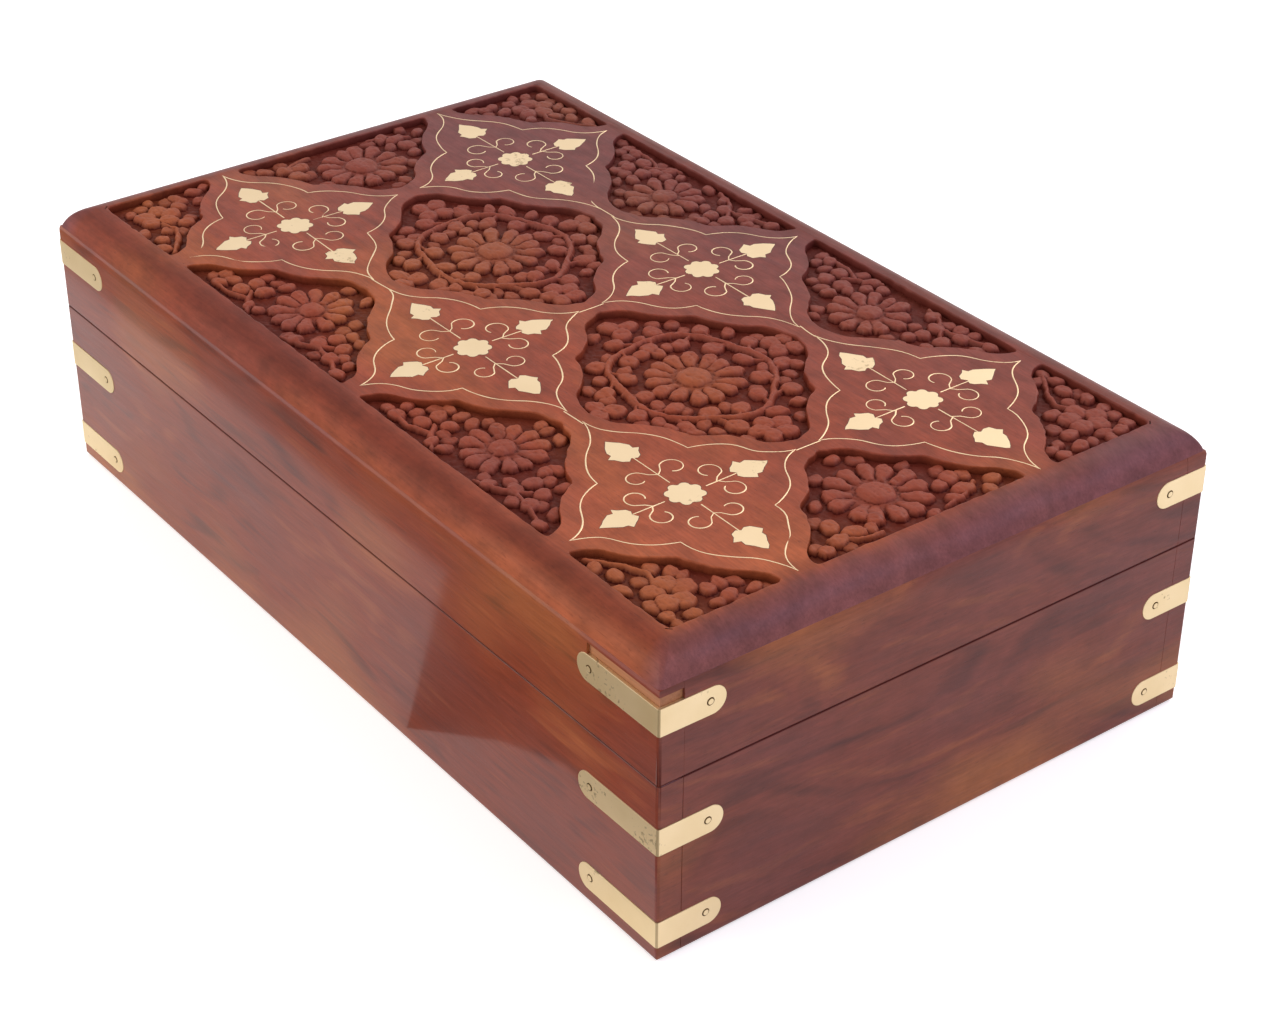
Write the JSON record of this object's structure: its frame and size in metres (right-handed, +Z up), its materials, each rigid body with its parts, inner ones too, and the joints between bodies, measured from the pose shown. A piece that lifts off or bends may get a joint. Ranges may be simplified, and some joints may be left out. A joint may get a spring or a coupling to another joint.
{
  "type": "wooden jewelry box",
  "caption": "Rectangular wooden keepsake box with a hinged lid, velvet lining, brass corner straps, and a top of carved flower panels and brass scroll inlay.",
  "frame": {"origin": "middle of the underside, on the surface that the box stands on", "axes": "+X along the front from left to right, +Y towards the hinged back, +Z up"},
  "size_m": [0.2544, 0.1572, 0.0743],
  "materials": {
    "box_wood": "polished sheesham, semi-gloss",
    "carved_top_wood": "polished sheesham, carved",
    "brass_straps": "satin, lightly tarnished",
    "brass_inlay": "satin, ground flush",
    "brass_hinges": "satin",
    "velvet_lining": "short-pile velvet on card"
  },
  "bodies": {
    "base": {"base_back_lining": "velvet_lining", "base_back_wall": "box_wood", "base_bottom_board": "box_wood", "base_flat_lining": "velvet_lining", "base_front_lining": "velvet_lining", "base_front_wall": "box_wood", "base_hinge_leaf_left": "brass_hinges", "base_hinge_leaf_right": "brass_hinges", "base_hinge_screws": "brass_hinges", "base_left_lining": "velvet_lining", "base_left_wall": "box_wood", "base_lower_strap_back_left": "brass_straps", "base_lower_strap_back_right": "brass_straps", "base_lower_strap_front_left": "brass_straps", "base_lower_strap_front_right": "brass_straps", "base_lower_strap_pins": "brass_straps", "base_right_lining": "velvet_lining", "base_right_wall": "box_wood", "base_upper_strap_back_left": "brass_straps", "base_upper_strap_back_right": "brass_straps", "base_upper_strap_front_left": "brass_straps", "base_upper_strap_front_right": "brass_straps", "base_upper_strap_pins": "brass_straps", "hinge_pin_left": "brass_hinges", "hinge_pin_right": "brass_hinges"},
    "lid": {"inlay_leaves": "brass_inlay", "inlay_link_wires": "brass_inlay", "inlay_outline_wires": "brass_inlay", "inlay_rosettes": "brass_inlay", "inlay_scroll_wires": "brass_inlay", "lid_back_lining": "velvet_lining", "lid_back_wall": "box_wood", "lid_flat_lining": "velvet_lining", "lid_front_lining": "velvet_lining", "lid_front_wall": "box_wood", "lid_hinge_leaf_left": "brass_hinges", "lid_hinge_leaf_right": "brass_hinges", "lid_hinge_screws": "brass_hinges", "lid_left_lining": "velvet_lining", "lid_left_wall": "box_wood", "lid_right_lining": "velvet_lining", "lid_right_wall": "box_wood", "lid_strap_back_left": "brass_straps", "lid_strap_back_right": "brass_straps", "lid_strap_front_left": "brass_straps", "lid_strap_front_right": "brass_straps", "lid_strap_pins": "brass_straps", "lid_top_board": "carved_top_wood"}
  },
  "joints": [
    {"name": "lid_hinge", "type": "hinge", "parent": "base", "child": "lid", "pos_m": [0, 0.0786, 0.0455], "axis": [-1, 0, 0], "range_deg": [0, 100]}
  ]
}
